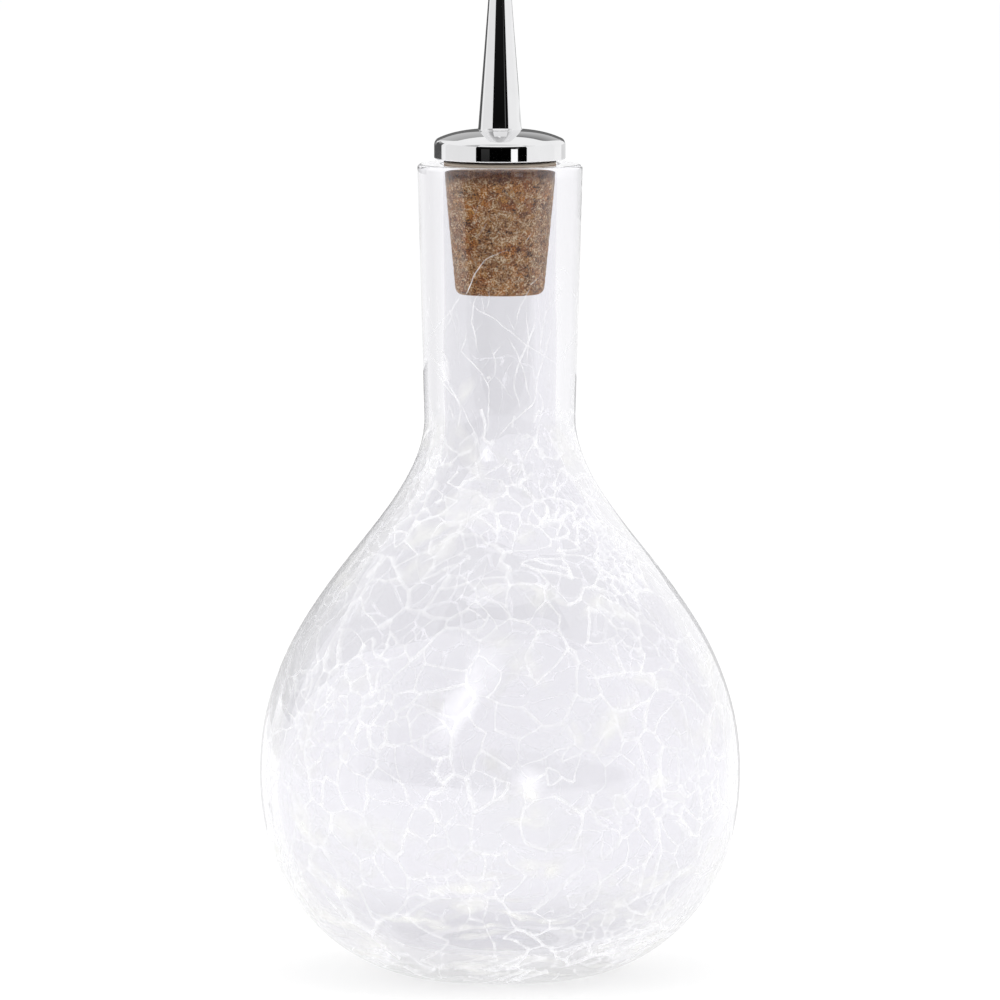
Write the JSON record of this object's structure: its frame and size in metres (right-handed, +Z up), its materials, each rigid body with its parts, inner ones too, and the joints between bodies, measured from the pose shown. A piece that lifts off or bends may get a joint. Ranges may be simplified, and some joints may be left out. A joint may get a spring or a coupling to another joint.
{
  "type": "bitters bottle",
  "caption": "Drop-shaped crackle glass bottle with a long neck, closed by a tapered cork that carries a domed chrome cap and a slender pouring spout for dashes of bitters.",
  "frame": {"origin": "on the bottle's axis, in the plane that its foot stands on", "axes": "+Z up along the axis that every piece is turned round, from the foot to the spout's tip; +X and +Y are alike"},
  "size_m": [0.0602, 0.0602, 0.1281],
  "materials": {
    "crackle_glass": "clear, crackled inside the wall, fire-polished lip",
    "pressed_cork": "pressed cork granules, matte",
    "chrome_plate": "polished",
    "stainless_steel": "drawn tube, satin"
  },
  "bodies": {
    "bottle": {"glass_bottle": "crackle_glass"},
    "stopper": {"cork_stopper": "pressed_cork", "cap_flange": "chrome_plate", "pour_spout": "chrome_plate", "stem_tube": "stainless_steel"}
  },
  "joints": [
    {"name": "stopper_pull", "type": "slide", "parent": "bottle", "child": "stopper", "axis": [0, 0, 1], "range_m": [0, 0.022]}
  ]
}
